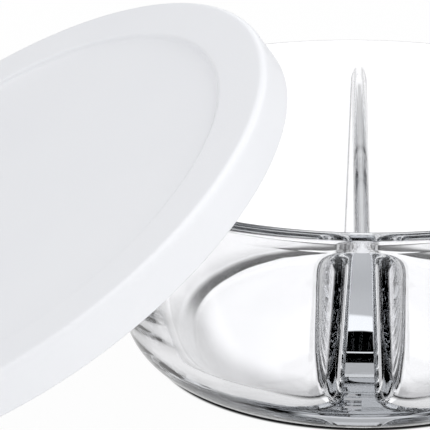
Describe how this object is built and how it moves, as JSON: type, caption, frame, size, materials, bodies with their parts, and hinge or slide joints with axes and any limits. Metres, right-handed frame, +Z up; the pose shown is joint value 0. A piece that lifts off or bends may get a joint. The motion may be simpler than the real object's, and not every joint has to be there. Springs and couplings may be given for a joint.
{
  "type": "divided food dish with press-on lid",
  "caption": "Round clear glass dish whose divider makes two half-moon compartments, with its press-on plastic lid taken off and leaning on the rim.",
  "frame": {"origin": "centre of the dish's foot ring, in the plane that it stands on", "axes": "+Z up the dish's axis, +Y along the divider away from the viewer, +X to the right; the lid leans on the -X side"},
  "size_m": [0.2751, 0.2172, 0.1086],
  "materials": {
    "clear_glass": "fire-polished clear pressed glass",
    "white_plastic": "white moulded plastic with a soft satin gloss"
  },
  "bodies": {
    "bowl": {"divided_bowl": "clear_glass"},
    "lid": {"lid": "white_plastic"}
  },
  "joints": [
    {"name": "lid_lift", "type": "slide", "parent": "bowl", "child": "lid", "axis": [0, 0, 1], "range_m": [0, 0.12]}
  ]
}
